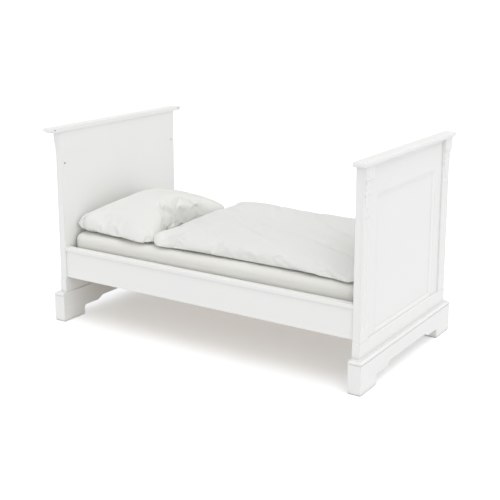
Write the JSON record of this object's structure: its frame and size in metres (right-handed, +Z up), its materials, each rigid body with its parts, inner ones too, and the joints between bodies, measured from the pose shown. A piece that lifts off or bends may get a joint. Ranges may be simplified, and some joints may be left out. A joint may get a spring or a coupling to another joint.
{
  "type": "toddler bed",
  "caption": "White painted toddler bed with panelled, pilastered ends on bracket feet, two moulded side rails, a slatted base, mattress, pillow and duvet.",
  "frame": {"origin": "centre of the bed's bounding box on the floor", "axes": "+Z up, +X from the head end to the foot end, +Y from the front side to the back side"},
  "size_m": [1.51, 0.896, 0.866],
  "materials": {
    "white_paint": "satin white paint over sanded wood",
    "bare_pine": "sanded, unfinished",
    "zinc_steel": "zinc plated",
    "glide_plastic": "moulded, matt",
    "webbing": "woven cotton tape",
    "mattress_cover": "smooth satin-weave cover",
    "pillow_cotton": "plain-weave cotton",
    "duvet_cotton": "plain-weave cotton"
  },
  "bodies": {
    "bed_frame": {"head_stile_front": "white_paint", "head_stile_back": "white_paint", "head_top_rail": "white_paint", "head_bottom_rail": "white_paint", "head_centre_panel": "white_paint", "head_panel_moulding": "white_paint", "head_pilaster_front": "white_paint", "head_pilaster_back": "white_paint", "head_corbel_front": "white_paint", "head_corbel_back": "white_paint", "head_leaf_carvings": "white_paint", "head_cornice": "white_paint", "head_cap": "white_paint", "head_base_band": "white_paint", "head_plinth_board": "white_paint", "head_plinth_moulding": "white_paint", "head_inner_plinth_board": "white_paint", "foot_stile_front": "white_paint", "foot_stile_back": "white_paint", "foot_top_rail": "white_paint", "foot_bottom_rail": "white_paint", "foot_centre_panel": "white_paint", "foot_panel_moulding": "white_paint", "foot_pilaster_front": "white_paint", "foot_pilaster_back": "white_paint", "foot_corbel_front": "white_paint", "foot_corbel_back": "white_paint", "foot_leaf_carvings": "white_paint", "foot_cornice": "white_paint", "foot_cap": "white_paint", "foot_base_band": "white_paint", "foot_plinth_board": "white_paint", "foot_plinth_moulding": "white_paint", "foot_inner_plinth_board": "white_paint", "front_rail": "white_paint", "back_rail": "white_paint", "front_rail_strip": "white_paint", "back_rail_strip": "white_paint", "front_ledger": "bare_pine", "back_ledger": "bare_pine", "slats": "bare_pine", "rail_dowels": "bare_pine", "frame_dowels": "bare_pine", "cap_dowels": "bare_pine", "base_dowels": "bare_pine", "rail_studs": "zinc_steel", "barrel_nuts": "zinc_steel", "rail_inserts": "zinc_steel", "ledger_screws": "zinc_steel", "slat_screws": "zinc_steel", "glides": "glide_plastic", "slat_tapes": "webbing"},
    "mattress": {"mattress": "mattress_cover"},
    "pillow": {"pillow": "pillow_cotton"},
    "duvet": {"duvet": "duvet_cotton"}
  },
  "joints": [
    {"name": "mattress_lift", "type": "slide", "parent": "bed_frame", "child": "mattress", "axis": [0, 0, 1], "range_m": [0, 0.62]},
    {"name": "pillow_lift", "type": "slide", "parent": "mattress", "child": "pillow", "axis": [0, 0, 1], "range_m": [0, 0.5]},
    {"name": "duvet_lift", "type": "slide", "parent": "mattress", "child": "duvet", "axis": [0, 0, 1], "range_m": [0, 0.5]}
  ]
}
